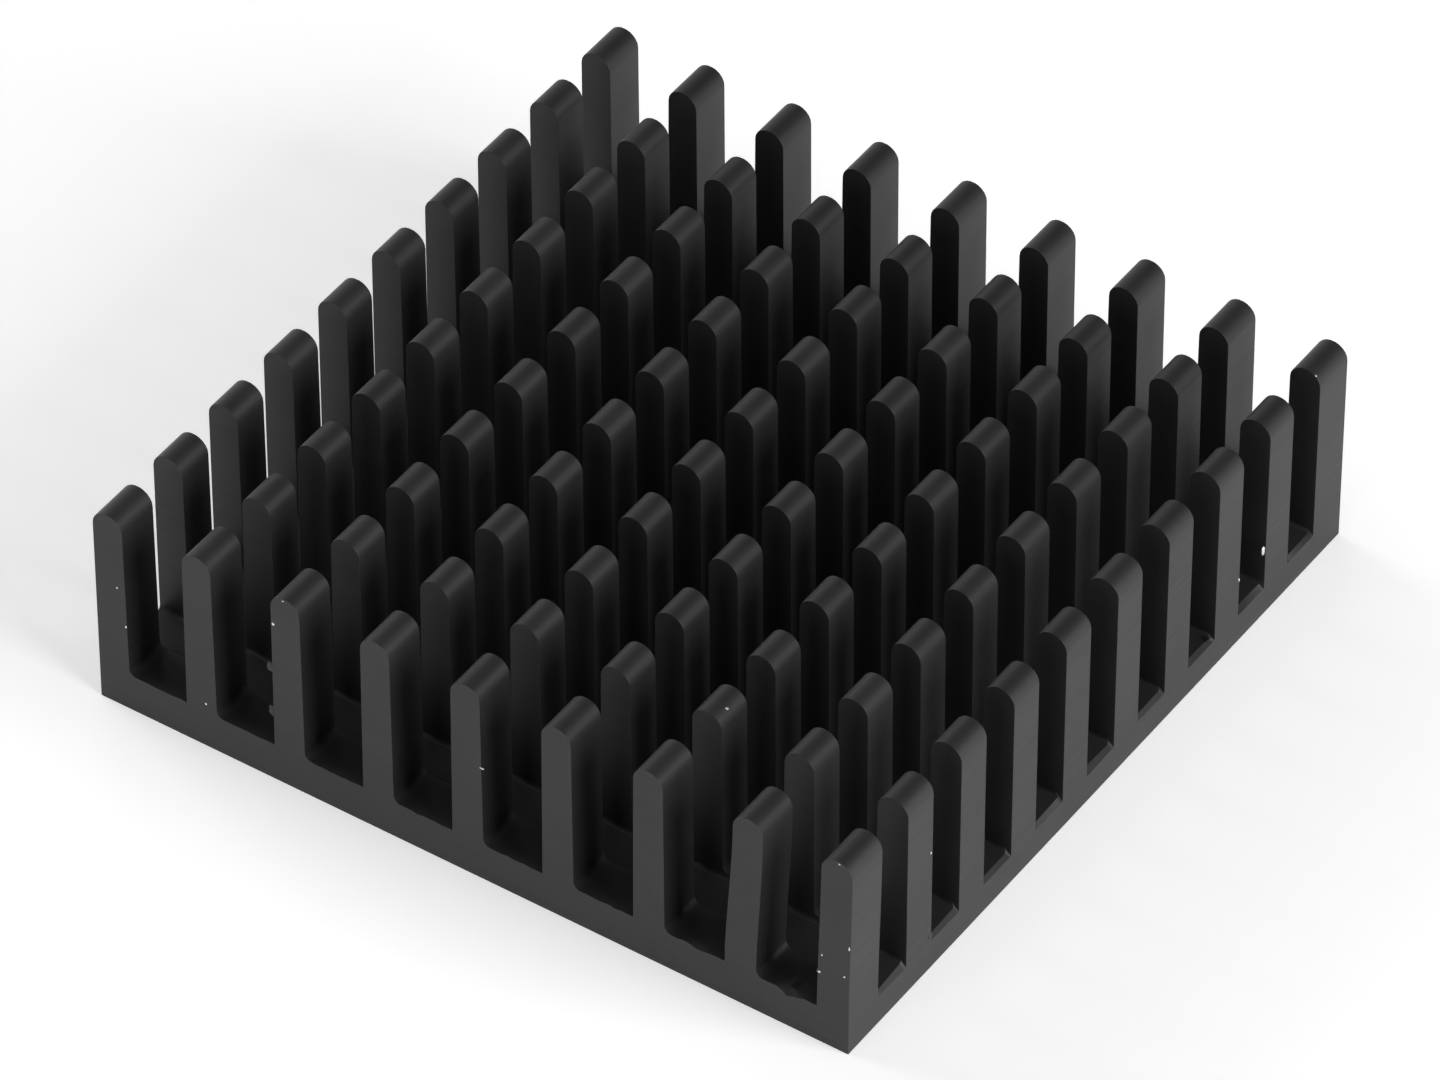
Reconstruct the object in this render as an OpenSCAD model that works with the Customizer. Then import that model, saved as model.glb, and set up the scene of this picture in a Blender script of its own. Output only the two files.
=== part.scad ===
// Pin fin heat sink for a chip package.
// An aluminium comb is extruded along Y, then sawn across along X, which leaves a grid of pins.
// X runs across the fins, Y along the extrusion and Z up. The origin is the centre of the underside.

/* [Block] */
// Width across the fins
sink_w = 40; // [30:0.5:60]
// Length along the extrusion
sink_l = 40; // [30:0.5:60]
// Height from the underside to the crown of the pins
sink_h = 11.3; // [8:0.1:20]
// Thickness of the base plate under the extruded gaps
base_t = 2.1; // [1.5:0.1:4]

/* [Fins] */
// Number of fins across the width
fin_n = 9; // [5:1:11]
// Thickness of a fin where it meets the base plate
fin_root_t = 1.65; // [1.55:0.05:2.2]
// Thickness of a fin below its rounded crown
fin_tip_t = 1.55; // [1:0.05:1.65]
// Radius of the fillet at the right foot of a fin; the die leaves the left foot sharp
root_r = 0.35; // [0.1:0.05:0.6]

/* [Saw cuts] */
// Number of cuts along the length
cut_n = 9; // [3:1:11]
// Width of one cut
cut_w = 2.2; // [1:0.1:2.6]
// Length of the first and the last pin of each fin
end_pin_l = 2.3; // [1.5:0.1:4]
// How far the floor of a cut lies below the floor of the extruded gaps
cut_extra = 0.3; // [0.1:0.05:0.6]
// Radius that the rounded teeth of the saw leave along both edges of a cut's floor
cut_corner_r = 0.2; // [0.05:0.05:0.4]
// Bevel where the floor of a cut breaks out of the right side, on which the saw leaves the block
cut_bevel = 0.2; // [0.05:0.05:0.4]

/* [Hidden] */
$fn = 28;

// How far a saw cut reaches past the faces that it clears
past = 1;
// Each drafted side of a fin leans in by this much between its root and its crown
draft = (fin_root_t - fin_tip_t) / 2;
// Distance from fin to fin, with the outer fins flush with the sides
fin_pitch = (sink_w - fin_root_t) / (fin_n - 1);
// Distance from cut to cut, with the end pins flush with the ends
cut_pitch = (sink_l - 2 * end_pin_l - cut_w) / (cut_n - 1);
// Height of the floor of the cuts above the underside
cut_floor_z = base_t - cut_extra;

// Section of one fin: the left and the right side lean in by their own draft under a round crown.
module fin_section(lean_left, lean_right) {
    left = -fin_root_t / 2;
    right = fin_root_t / 2;
    crown_r = (fin_root_t - lean_left - lean_right) / 2;
    shoulder_z = sink_h - crown_r;
    polygon([
        [left, 0], [right, 0], [right, base_t],
        [right - lean_right, shoulder_z], [left + lean_left, shoulder_z], [left, base_t]
    ]);
    translate([left + lean_left + crown_r, shoulder_z]) circle(r = crown_r);
}

// Fillet of radius r in the corner at the origin, between the axes X and Y.
module corner_fillet(r) {
    difference() {
        translate([-r, -r]) square(2 * r);
        translate([r, r]) circle(r = r);
    }
}

// Section of the extrusion, with X across and Y up.
module comb_section() {
    translate([-sink_w / 2, 0]) square([sink_w, base_t]);
    for (i = [0 : fin_n - 1])
        translate([(i - (fin_n - 1) / 2) * fin_pitch, 0])
            fin_section(i == 0 ? 0 : draft, i == fin_n - 1 ? 0 : draft);
    for (i = [0 : fin_n - 2])
        translate([-sink_w / 2 + i * fin_pitch + fin_root_t, base_t]) corner_fillet(root_r);
}

// Section of one saw cut, with X along the extrusion and Y up.
module slot_section() {
    difference() {
        translate([-cut_w / 2, cut_floor_z]) square([cut_w, sink_h + past - cut_floor_z]);
        translate([-cut_w / 2, cut_floor_z]) corner_fillet(cut_corner_r);
        translate([cut_w / 2, cut_floor_z]) mirror([1, 0]) corner_fillet(cut_corner_r);
    }
}

// One saw cut right across the fins, with its floor bevelled where it breaks out of the right side.
module saw_cut() {
    bevel_top = cut_floor_z + cut_corner_r;
    bevel_x = sink_w / 2 - cut_bevel - cut_corner_r;
    outer = sink_w / 2 + past;
    rotate([90, 0, 90])
        linear_extrude(height = 2 * outer, center = true) slot_section();
    rotate([90, 0, 0])
        linear_extrude(height = cut_w, center = true)
            polygon([[bevel_x, bevel_top], [outer, bevel_top - (outer - bevel_x)], [outer, bevel_top]]);
}

module heat_sink() {
    color("#2e2d2e")
        difference() {
            rotate([90, 0, 0])
                linear_extrude(height = sink_l, center = true) comb_section();
            for (k = [0 : cut_n - 1])
                translate([0, (k - (cut_n - 1) / 2) * cut_pitch, 0]) saw_cut();
        }
}

heat_sink();
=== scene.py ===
# %% [markdown]
# # A pin fin heat sink
# The real object is one piece of aluminium. A die squeezes out a long bar whose section is a comb, a saw cuts the
# bar to length and then crosses the comb, and the block is anodised black. The frame holds it as one node.

# %% Load the frame
import math

import bmesh
import bpy
import numpy as np
from mathutils import Matrix, Vector


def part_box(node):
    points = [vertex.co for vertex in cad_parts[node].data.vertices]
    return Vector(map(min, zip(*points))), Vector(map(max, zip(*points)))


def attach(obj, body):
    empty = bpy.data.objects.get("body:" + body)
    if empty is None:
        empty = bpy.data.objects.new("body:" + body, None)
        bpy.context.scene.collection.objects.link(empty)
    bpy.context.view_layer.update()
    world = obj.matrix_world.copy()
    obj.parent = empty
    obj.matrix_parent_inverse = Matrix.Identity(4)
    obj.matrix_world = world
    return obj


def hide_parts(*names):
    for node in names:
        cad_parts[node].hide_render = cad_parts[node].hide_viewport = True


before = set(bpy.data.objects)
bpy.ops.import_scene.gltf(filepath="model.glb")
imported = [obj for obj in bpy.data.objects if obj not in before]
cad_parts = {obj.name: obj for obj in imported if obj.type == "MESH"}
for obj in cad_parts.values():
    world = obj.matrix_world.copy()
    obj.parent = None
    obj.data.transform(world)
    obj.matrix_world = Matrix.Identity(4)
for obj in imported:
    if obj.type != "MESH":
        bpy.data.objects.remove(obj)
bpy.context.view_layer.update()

MM = 0.001
low, high = (np.array(corner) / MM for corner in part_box("heat_sink"))
print("CAD box, mm:", low.round(2), high.round(2))

# %% [markdown]
# ## Sizes
# The outside sizes come from the frame. The others are the ones that the extrusion die and the saw set, in
# millimetres, as in the part's source.

# %% Name the sizes
sink_w, sink_l, sink_h = high - low
base_t = 2.1          # base plate under the extruded gaps
fin_n = 9             # fins across the width
fin_root_t = 1.65     # fin thickness at the base plate
fin_tip_t = 1.55      # fin thickness under the crown
root_r = 0.35         # fillet at the right foot of a fin
cut_n = 9             # saw cuts along the length
cut_w = 2.2           # width of one cut
end_pin_l = 2.3       # length of the first and last pin of a fin
cut_extra = 0.3       # how much deeper the saw goes than the extruded gaps
cut_corner_r = 0.2    # radius along both edges of a cut's floor
cut_bevel = 0.2       # bevel where a cut breaks out of the right side

pin_n = cut_n + 1
draft = (fin_root_t - fin_tip_t) / 2
cut_z = base_t - cut_extra
corner_z = cut_z + cut_corner_r
foot_z = base_t + root_r
fin_x = np.linspace(-1, 1, fin_n) * (sink_w - fin_root_t) / 2
cut_y = np.linspace(-1, 1, cut_n) * (sink_l / 2 - end_pin_l - cut_w / 2)
pin_near = np.concatenate([[-sink_l / 2], cut_y + cut_w / 2])
pin_far = np.concatenate([cut_y - cut_w / 2, [sink_l / 2]])
print("fin pitch, mm:", np.diff(fin_x)[0].round(3), " pin lengths, mm:", (pin_far - pin_near).round(2))

# %% [markdown]
# ## The comb's outline
# A fin's outline runs from its left foot up the side, over the round crown and down to its right foot. Both sides
# have the same number of levels, so that each point on the left has a partner on the right, and the sawn end of a
# pin can be closed with plain four-sided faces between partners. The crown has an odd number of steps, so the last
# pair of partners closes it. The die leaves a fillet at a fin's right foot and a sharp corner at its left one.

# %% Outline of one fin and of one gap
side_steps = 9
crown_steps = 11
fillet_steps = 4
floor_steps = 9


def fin_outline(lean_left, lean_right):
    """Points (x, z) about a fin's centre line, foot to foot.

    Each side leans in evenly from the foot to the shoulder. The crown is a half circle whose radius is half of what
    is left of the thickness: x = centre - r cos(turn), z = shoulder + r sin(turn).
    """
    r = (fin_root_t - lean_left - lean_right) / 2
    centre = (lean_left - lean_right) / 2
    shoulder = sink_h - r
    up = np.linspace(0, 1, side_steps + 1)
    turn = np.linspace(0, math.pi, crown_steps + 1)[1:-1]
    left = np.stack([-fin_root_t / 2 + lean_left * up, base_t + (shoulder - base_t) * up], 1)
    crown = np.stack([centre - r * np.cos(turn), shoulder + r * np.sin(turn)], 1)
    right = np.stack([fin_root_t / 2 - lean_right * up, foot_z + (shoulder - foot_z) * up], 1)[::-1]
    return np.concatenate([left, crown, right])


def gap_outline(width):
    """Points (x, z) of the floor of a gap between two fins, feet left out.

    A quarter circle of the fillet's radius comes down from the fin on the left, and a flat floor runs on from it.
    """
    turn = np.linspace(0, math.pi / 2, fillet_steps + 1)[1:]
    down = np.stack([root_r * (1 - np.cos(turn)), foot_z - root_r * np.sin(turn)], 1)
    x = np.linspace(root_r, width, floor_steps + 1)[1:-1]
    return np.concatenate([down, np.stack([x, np.full_like(x, base_t)], 1)])


gap = gap_outline(fin_x[1] - fin_x[0] - fin_root_t)
print("points on a fin:", len(fin_outline(draft, draft)), " in a gap:", len(gap))

# %% [markdown]
# ## The whole section
# The comb's section is the side of the base plate, then fin, gap, fin and so on, and the other side. Beside the
# points themselves we keep two lists of places in that row: which points belong to each fin, and which ones are
# "low", that is on the base plate. Where the saw has passed, only the low points are left.

# %% Comb section
parts = [np.array([[-sink_w / 2, 0], [-sink_w / 2, corner_z]])]
fin_at, low_at, count = [], [0, 1], 2
for i, x in enumerate(fin_x):
    fin = fin_outline(0 if i == 0 else draft, 0 if i == fin_n - 1 else draft)
    parts.append(fin + [x, 0])
    fin_at.append(count + np.arange(len(fin)))
    low_at += [count, count + len(fin) - 1]
    count += len(fin)
    if i < fin_n - 1:
        parts.append(gap + [x + fin_root_t / 2, 0])
        low_at += list(count + np.arange(len(gap)))
        count += len(gap)
parts.append(np.array([[sink_w / 2, cut_z - cut_bevel], [sink_w / 2, 0]]))
low_at += [count, count + 1]

comb = np.concatenate(parts)
fin_at = np.array(fin_at)
low_at = np.array(low_at)
print("points in the comb:", len(comb), " on the base plate:", len(low_at))

# %% [markdown]
# ## Sweep the section along the bar
# Each pin carries the comb's section on a few lines along Y. A cut is carried on eight lines: four go down one
# rounded corner of its floor and four come up the other. At the plane of a saw face the comb and the cut stand one
# above the other, and a wall between them closes the pins' ends. The points are worked out for the whole bar at once.
# Doubles along the planes are merged at the end.

# %% Points of the pins
along = np.array([0, 0.12, 0.5, 0.88, 1])
pin_y = pin_near[:, None] + (pin_far - pin_near)[:, None] * along
comb_points = np.empty((pin_n, len(along), len(comb), 3))
comb_points[..., [0, 2]] = comb
comb_points[..., 1] = pin_y[..., None]
comb_id = np.arange(comb_points[..., 0].size).reshape(comb_points.shape[:3])
print("lines along the pins:", pin_y.size)

# %% Points of the cuts
corner_steps = 3
turn = np.linspace(0, math.pi / 2, corner_steps + 1)
in_from_wall = cut_corner_r * (1 - np.cos(turn))
line_z = corner_z - cut_corner_r * np.sin(turn)
line_z = np.concatenate([line_z, line_z[::-1]])
first_half = pin_far[:-1, None] + in_from_wall
second_half = pin_near[1:, None] - in_from_wall[::-1]
saw_y = np.concatenate([first_half, second_half], 1)

cut_points = np.empty((cut_n, len(line_z), len(low_at), 3))
cut_points[..., 0] = comb[low_at, 0]
cut_points[..., 1] = saw_y[..., None]
cut_points[..., 2] = line_z[:, None]
cut_points[..., 0, 2] = cut_points[..., -1, 2] = 0
cut_points[..., -2, 2] = cut_z - cut_bevel
cut_points[..., -3, 0] = sink_w / 2 - cut_bevel - (line_z - cut_z)
cut_id = comb_id.size + np.arange(cut_points[..., 0].size).reshape(cut_points.shape[:3])
print("lines across the cuts:", saw_y.size)

# %% [markdown]
# ## Bent pins and a chipped floor
# Two pins at the near right corner were knocked and lean outwards. The front edge of the gaps' floors was torn a
# little by the cut-off saw, and in the last gap a piece broke out of it. We move the points themselves, because they
# are still in tidy rows here.

# %% Knocks and chips
random = np.random.default_rng(7)
floor_tear = 0.025    # mm, spread of the front edge of the gaps' floors
strip_tear = 0.035    # mm, spread of the bevels of the cuts
strip_burr = 0.12     # mm, the most that a bevel's last line is pushed out


def lean(fin, row, amount):
    """Pushes one pin along X by amount times the sine of a quarter turn over its height, to the power 1.5."""
    z = comb_points[row][:, fin_at[fin], 2]
    t = np.clip((z - foot_z) / (sink_h - foot_z), 0, 1)
    comb_points[row][:, fin_at[fin], 0] += amount * np.sin(math.pi / 2 * t) ** 1.5


lean(7, 0, 0.38)
lean(8, 0, 0.13)

floor_at = np.array([np.arange(f[-1] + fillet_steps + 1, f[-1] + len(gap) + 1) for f in fin_at[:-1]])
comb_points[0, 0, floor_at, 2] += random.normal(0, floor_tear, floor_at.shape)
comb_points[0, 0, floor_at[7, 2:6], 2] -= [0.12, 0.3, 0.2, 0.1]
comb_points[0, 0, floor_at[6, 3:6], 2] -= [0.06, 0.1, 0.05]

strip = random.normal(0, strip_tear, (cut_n, len(line_z)))
strip[:, -1] += random.uniform(0, strip_burr, cut_n)
cut_points[:, 1:-1, -3, 0] += strip[:, 1:-1]
cut_points[:, 1:-1, -2, 2] += 0.6 * strip[:, 1:-1]
print("deepest chip, mm:", (base_t - comb_points[0, 0, floor_at, 2].min()).round(2))

# %% Faces of the whole block
def between(a, b):
    """Four-sided faces between two rows of point numbers that run side by side."""
    return np.stack([a[..., :-1], a[..., 1:], b[..., 1:], b[..., :-1]], -1).reshape(-1, 4)


def pin_ends(row):
    """Four-sided faces between the left and the right partners of every fin in one row of point numbers."""
    ends = row[..., fin_at]
    half = ends.shape[-1] // 2
    return between(ends[..., :half], ends[..., ::-1][..., :half])


def saw_wall(row, line):
    """Faces from the low points of a comb row down to a cut's first line, and the triangle beside its bevel."""
    low_row = row[..., low_at]
    corner = np.stack([low_row[..., -2], line[..., -3], low_row[..., -3]], -1)
    return between(low_row[..., 2:-2], line[..., 2:-2]), corner.reshape(-1, 3)


ends = [0, -1]
far_wall, far_corner = saw_wall(comb_id[:-1, -1], cut_id[:, 0])
near_wall, near_corner = saw_wall(comb_id[1:, 0], cut_id[:, -1])
drawn = [between(comb_id[:, :-1], comb_id[:, 1:])]
drawn += [between(comb_id[:, :-1, ends], comb_id[:, 1:, ends])]
drawn += [between(cut_id[:, :-1, [0, 2]], cut_id[:, 1:, [0, 2]])]
drawn += [between(cut_id[:, :-1, -2:], cut_id[:, 1:, -2:])]
drawn += [between(cut_id[:, :-1, ends], cut_id[:, 1:, ends])]
sawn = [pin_ends(comb_id[:, 0]), pin_ends(comb_id[:, -1]), far_wall, near_wall]
sawn += [between(cut_id[:, :-1, 2:-1], cut_id[:, 1:, 2:-1])]
plate_ends = [comb_id[0, 0, low_at], comb_id[-1, -1, low_at]]

faces = np.concatenate(drawn).tolist()
drawn_n = len(faces)
faces += np.concatenate(sawn).tolist() + np.concatenate([far_corner, near_corner]).tolist()
faces += [end.tolist() for end in plate_ends]
print("faces drawn by the die:", drawn_n, " cut by the saw:", len(faces) - drawn_n)

# %% [markdown]
# ## Make the mesh
# One helper makes a finished piece from points in millimetres: it merges doubles, turns the faces outwards and
# reports open edges, of which a closed solid has none. A number per face picks the piece's material.

# %% Mesh helper
merge_mm = 0.001    # points nearer to each other than this become one


def make_piece(name, points, faces, kinds=None):
    """A mesh object at the origin from points in millimetres, doubles merged and faces turned outwards."""
    mesh = bpy.data.meshes.new(name)
    mesh.from_pydata((points * MM).tolist(), [], faces)
    if kinds is not None:
        mesh.polygons.foreach_set("material_index", kinds)
    work = bmesh.new()
    work.from_mesh(mesh)
    bmesh.ops.remove_doubles(work, verts=work.verts, dist=merge_mm * MM)
    bmesh.ops.dissolve_degenerate(work, edges=work.edges, dist=merge_mm * MM)
    bmesh.ops.recalc_face_normals(work, faces=work.faces)
    loose = sum(not edge.is_manifold for edge in work.edges)
    volume = work.calc_volume(signed=True) / MM**3
    work.to_mesh(mesh)
    work.free()
    piece = bpy.data.objects.new(name, mesh)
    bpy.context.scene.collection.objects.link(piece)
    print(f"{name}: {len(mesh.polygons)} faces, {loose} open edges, {volume:.1f} cubic mm")
    return piece


points = np.concatenate([comb_points.reshape(-1, 3), cut_points.reshape(-1, 3)])
sink = make_piece("pinned_block", points, faces, (np.arange(len(faces)) >= drawn_n).astype(int))
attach(sink, "root")
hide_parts("heat_sink")

# %% Soften the edges
edge_break = 0.035    # mm
sharp_from = 42       # degrees between two faces
soften = sink.modifiers.new("edge break", "BEVEL")
soften.width = edge_break * MM
soften.segments = 2
soften.limit_method = "ANGLE"
soften.angle_limit = math.radians(sharp_from)
soften.harden_normals = True
sink.data.shade_smooth()

# %% [markdown]
# ## Material helpers
# Colours are written as the hex values that a screen shows and turned to linear ones here. One function adds a node
# with its settings and links.

# %% Colour and node helpers
def linear(hex_colour):
    """Linear (r, g, b, 1) of an sRGB hex colour."""
    srgb = np.array([int(hex_colour[k:k + 2], 16) for k in (1, 3, 5)]) / 255
    rgb = np.where(srgb <= 0.04045, srgb / 12.92, ((srgb + 0.055) / 1.055) ** 2.4)
    return (*rgb.tolist(), 1.0)


def add(tree, kind, links=None, **settings):
    """A new node of that kind. A setting names a socket or a property, and a link gives a socket its source."""
    node = tree.nodes.new(kind)
    for name, value in settings.items():
        socket = node.inputs.get(name.replace("_", " "))
        if hasattr(node, name):
            setattr(node, name, value)
        elif socket is not None:
            socket.default_value = value
    for name, source in (links or {}).items():
        tree.links.new(source, node.inputs[name])
    return node


def material(name):
    """A node material and its tree, which holds no nodes yet."""
    made = bpy.data.materials.new(name)
    made.use_nodes = True
    made.node_tree.nodes.clear()
    return made, made.node_tree

# %% [markdown]
# ## Black anodised aluminium
# The oxide layer is dyed black and has a dull glass-like skin over the metal, so it is not a metal to the eye: a
# very dark colour with a soft sheen, a little weaker than a polished dielectric's because the film is full of pores.
# The surface below shows through as relief.
# The die draws lines along the bar, about 0.1 mm apart, and the saw leaves lines across it. The pores of the oxide
# are far too fine to show, so the grain is drawn at 0.07 mm. One function makes both finishes, because only the
# direction of the lines differs. Clouds a few millimetres wide make the dye a little uneven.

# %% Anodised finish
grain_mm = 0.07
cloud_mm = 4


def anodised(name, line_mm, depth_mm):
    """A black anodised material whose lines have the given spacing, in mm, along X, Y and Z."""
    made, tree = material(name)
    place = add(tree, "ShaderNodeTexCoord").outputs["Object"]
    stretch = add(tree, "ShaderNodeMapping", {"Vector": place}, vector_type="POINT")
    stretch.inputs["Scale"].default_value = [1 / (mm * MM) for mm in line_mm]
    lines = add(tree, "ShaderNodeTexNoise", {"Vector": stretch.outputs["Vector"]}, Scale=1.0, Detail=3.0)
    grain = add(tree, "ShaderNodeTexNoise", {"Vector": place}, Scale=1 / (grain_mm * MM), Detail=2.0)
    cloud = add(tree, "ShaderNodeTexNoise", {"Vector": place}, Scale=1 / (cloud_mm * MM), Detail=3.0)

    tint = add(tree, "ShaderNodeValToRGB", {"Fac": cloud.outputs["Fac"]})
    for stop, (at, colour) in zip(tint.color_ramp.elements, [(0.35, "#222121"), (0.65, "#282626")]):
        stop.position, stop.color = at, linear(colour)
    sheen = add(tree, "ShaderNodeMapRange", {"Value": lines.outputs["Fac"]}, To_Min=0.43, To_Max=0.57)

    relief = add(tree, "ShaderNodeBump", {"Height": lines.outputs["Fac"]}, Strength=0.6, Distance=depth_mm * MM)
    skin = {"Height": grain.outputs["Fac"], "Normal": relief.outputs["Normal"]}
    fine = add(tree, "ShaderNodeBump", skin, Strength=0.5, Distance=0.004 * MM)
    wires = {
        "Base Color": tint.outputs["Color"], "Roughness": sheen.outputs["Result"], "Normal": fine.outputs["Normal"]
    }
    shader = add(tree, "ShaderNodeBsdfPrincipled", wires, Metallic=0.0, Specular_IOR_Level=0.38)
    add(tree, "ShaderNodeOutputMaterial", {"Surface": shader.outputs["BSDF"]})
    return made


extruded_black = anodised("black anodised aluminium, extruded", (0.16, 9, 0.16), 0.010)
sawn_black = anodised("black anodised aluminium, sawn", (7, 0.2, 0.2), 0.007)
sink.data.materials.append(extruded_black)
sink.data.materials.append(sawn_black)
print("materials:", [m.name for m in sink.data.materials])

# %% [markdown]
# ## Bare metal
# Where the black skin is chipped off an edge, bright aluminium shows. It is a true metal with the default index,
# dulled by handling, so it catches the lamps as small white points.

# %% Bare aluminium
bare, tree = material("bare aluminium, chipped")
place = add(tree, "ShaderNodeTexCoord").outputs["Object"]
rough = add(tree, "ShaderNodeTexNoise", {"Vector": place}, Scale=1 / (0.1 * MM), Detail=2.0)
torn = add(tree, "ShaderNodeBump", {"Height": rough.outputs["Fac"]}, Strength=0.6, Distance=0.02 * MM)
shader = add(tree, "ShaderNodeBsdfPrincipled", {"Normal": torn.outputs["Normal"]}, Metallic=1.0, Roughness=0.4)
shader.inputs["Base Color"].default_value = linear("#e1e2e3")
add(tree, "ShaderNodeOutputMaterial", {"Surface": shader.outputs["BSDF"]})
print("material:", bare.name)

# %% [markdown]
# ## Burrs and chips
# The cut-off saw bent small tongues of metal over an edge, and knocks left bright chips. Both are small closed lumps
# half sunk in the surface. We list each one: a place and three half sizes in millimetres.

# %% Lumps on the surface
def lumps(name, rows, finish):
    """Adds closed lumps as one piece: a sphere's points (sin t cos p, sin t sin p, cos t) times the half sizes.

    Each point's distance is multiplied by 1 + 0.16 n sin t, where n is noise, so the poles stay single points.
    """
    rows = np.array(rows)
    t = np.linspace(0, math.pi, 7)[:, None]
    p = np.linspace(0, 2 * math.pi, 11)[:-1]
    ball = np.stack([np.sin(t) * np.cos(p), np.sin(t) * np.sin(p), np.cos(t) * np.ones_like(p)], -1)
    uneven = 1 + 0.16 * random.normal(size=(len(rows), *ball.shape[:2], 1)) * np.sin(t)[..., None]
    points = rows[:, None, None, :3] + ball * uneven * rows[:, None, None, 3:]
    number = np.arange(points[..., 0].size).reshape(points.shape[:3])
    ring = np.concatenate([number, number[:, :, :1]], 2)
    piece = make_piece(name, points.reshape(-1, 3), between(ring[:, :-1], ring[:, 1:]).tolist())
    piece.data.shade_smooth()
    piece.data.materials.append(finish)
    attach(piece, "root")


burrs = [
    (-10.46, -19.97, 6.80, 0.26, 0.05, 0.30), (-10.46, -19.97, 4.15, 0.24, 0.05, 0.32),
    (15.30, -17.80, 10.85, 0.16, 0.12, 0.14), (19.96, 9.05, 1.95, 0.06, 0.16, 0.12),
    (19.96, -13.60, 1.95, 0.08, 0.22, 0.16), (18.40, -19.98, 4.20, 0.10, 0.04, 0.12),
]
chips = [
    (-10.25, -20.0, 9.48, 0.08, 0.03, 0.08), (-9.67, -19.95, 11.14, 0.08, 0.08, 0.05),
    (-18.42, -20.0, 4.99, 0.05, 0.04, 0.08), (-14.14, -20.0, 2.58, 0.06, 0.02, 0.06),
    (0.84, -20.0, 6.74, 0.11, 0.03, 0.04), (20.0, -19.97, 6.40, 0.04, 0.05, 0.18),
    (18.46, -20.0, 4.20, 0.09, 0.03, 0.06), (18.60, -20.0, 5.28, 0.04, 0.02, 0.05),
    (19.76, -20.0, 4.59, 0.05, 0.02, 0.05), (19.45, -19.95, 11.18, 0.07, 0.07, 0.05),
    (10.09, -14.71, 11.13, 0.08, 0.08, 0.05), (20.0, -13.68, 7.04, 0.03, 0.05, 0.06),
    (20.0, 13.32, 4.04, 0.05, 0.13, 0.26), (20.0, 11.31, 3.81, 0.03, 0.04, 0.10),
    (19.70, 17.75, 11.10, 0.05, 0.05, 0.05), (-18.81, -20.0, 7.14, 0.05, 0.02, 0.05),
]
lumps("saw_burrs", burrs, sawn_black)
lumps("bare_chips", chips, bare)

# %% [markdown]
# ## Camera
# The camera looks down on one corner through a long lens, so the fins hardly converge.

# %% Camera
camera_turn, camera_rise = 34.2, 42.8                       # degrees
camera_reach = 497.7                                        # mm from the aim point
camera_aim = Vector((0.14, -0.60, 5.03))                    # mm
camera_lens = 279.2                                         # mm, for a sensor 36 mm wide

turn, rise = math.radians(camera_turn), math.radians(camera_rise)
ahead = Vector((-math.sin(turn) * math.cos(rise), math.cos(turn) * math.cos(rise), -math.sin(rise)))
camera = bpy.data.objects.new("camera", bpy.data.cameras.new("camera"))
camera.data.sensor_width = 36
camera.data.lens = camera_lens
camera.data.clip_end = 10
camera.matrix_world = (
    Matrix.Translation((camera_aim - ahead * camera_reach) * MM)
    @ ahead.to_track_quat("-Z", "Y").to_matrix().to_4x4()
)
bpy.context.scene.collection.objects.link(camera)
bpy.context.scene.camera = camera
print("camera at, mm:", [round(c / MM, 1) for c in camera.location])

# %% [markdown]
# ## Floor
# The floor is a white sheet of paper. What the camera sees of it, straight or in a reflection, gets a little light of
# its own, so that the sheet is nearly white and still keeps the object's shadow. The lamps and the plain paper light
# the object, and the extra light shows only in its reflections.

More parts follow.
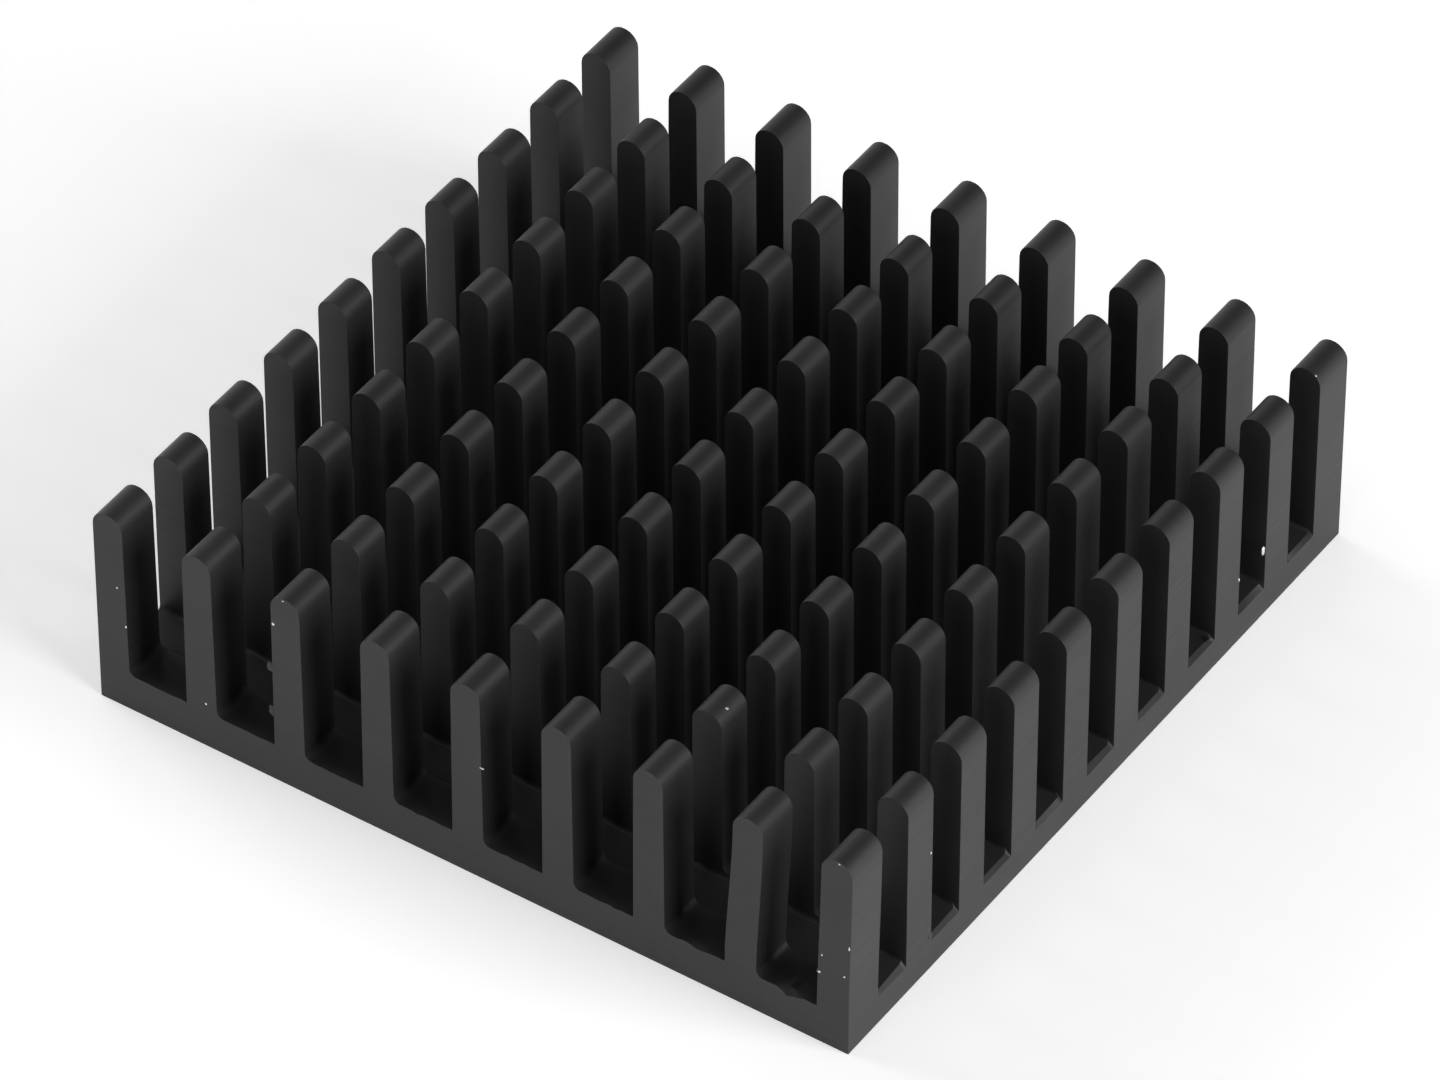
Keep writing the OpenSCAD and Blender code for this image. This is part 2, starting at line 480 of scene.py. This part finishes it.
# %% Floor
floor_reach = 3000    # mm from the middle to each side
paper_glow = 0.36     # a strength of 1 is white by itself
corners = floor_reach * np.array([[-1, -1, 0], [1, -1, 0], [1, 1, 0], [-1, 1, 0]])
floor = make_piece("floor", corners, [[0, 1, 2, 3]])
paper, tree = material("white paper, matt")
ray = add(tree, "ShaderNodeLightPath").outputs
seen = ray["Is Camera Ray"]
for kind in ("Is Glossy Ray", "Is Transmission Ray"):
    seen = add(tree, "ShaderNodeMath", {0: seen, 1: ray[kind]}, operation="MAXIMUM").outputs[0]
lift = add(tree, "ShaderNodeMath", {0: seen}, operation="MULTIPLY")
lift.inputs[1].default_value = paper_glow
matt = add(tree, "ShaderNodeBsdfDiffuse", Color=linear("#f2f2f2"))
glow = add(tree, "ShaderNodeEmission", {"Strength": lift.outputs[0]}, Color=linear("#ffffff"))
both = add(tree, "ShaderNodeAddShader", {0: matt.outputs["BSDF"], 1: glow.outputs["Emission"]})
add(tree, "ShaderNodeOutputMaterial", {"Surface": both.outputs["Shader"]})
floor.data.materials.append(paper)

# %% [markdown]
# ## Lights
# The object stands as in a light tent: a strong soft lamp low on the right, a weaker one on the left, and faint ones
# in front, behind and above. The low lamps and the white paper make the upright faces lighter than the crowns.

# %% Lights
softbox_side = 500    # mm


def softbox(name, place, power):
    """Adds a square area lamp of that power in watts, at a place in millimetres, facing the object's middle."""
    lamp = bpy.data.objects.new(name, bpy.data.lights.new(name, "AREA"))
    lamp.data.size = softbox_side * MM
    lamp.data.energy = power
    place = Vector(place)
    aim = (Vector((0, 0, sink_h / 2)) - place).to_track_quat("-Z", "Y").to_matrix().to_4x4()
    lamp.matrix_world = Matrix.Translation(place * MM) @ aim
    bpy.context.scene.collection.objects.link(lamp)


softbox("right softbox", (658, 0, 239), 6.2)
softbox("left softbox", (-658, 0, 239), 3.2)
softbox("front softbox", (0, -658, 239), 1.1)
softbox("top softbox", (0, 0, 700), 0.6)
softbox("back softbox", (-449, 449, 296), 0.6)
world = bpy.data.worlds.new("studio")
bpy.context.scene.world = world
world.use_nodes = True
world.node_tree.nodes["Background"].inputs["Color"].default_value = linear("#ffffff")
world.node_tree.nodes["Background"].inputs["Strength"].default_value = 0.02

# %% Finish
bpy.context.scene.view_settings.view_transform = "Standard"
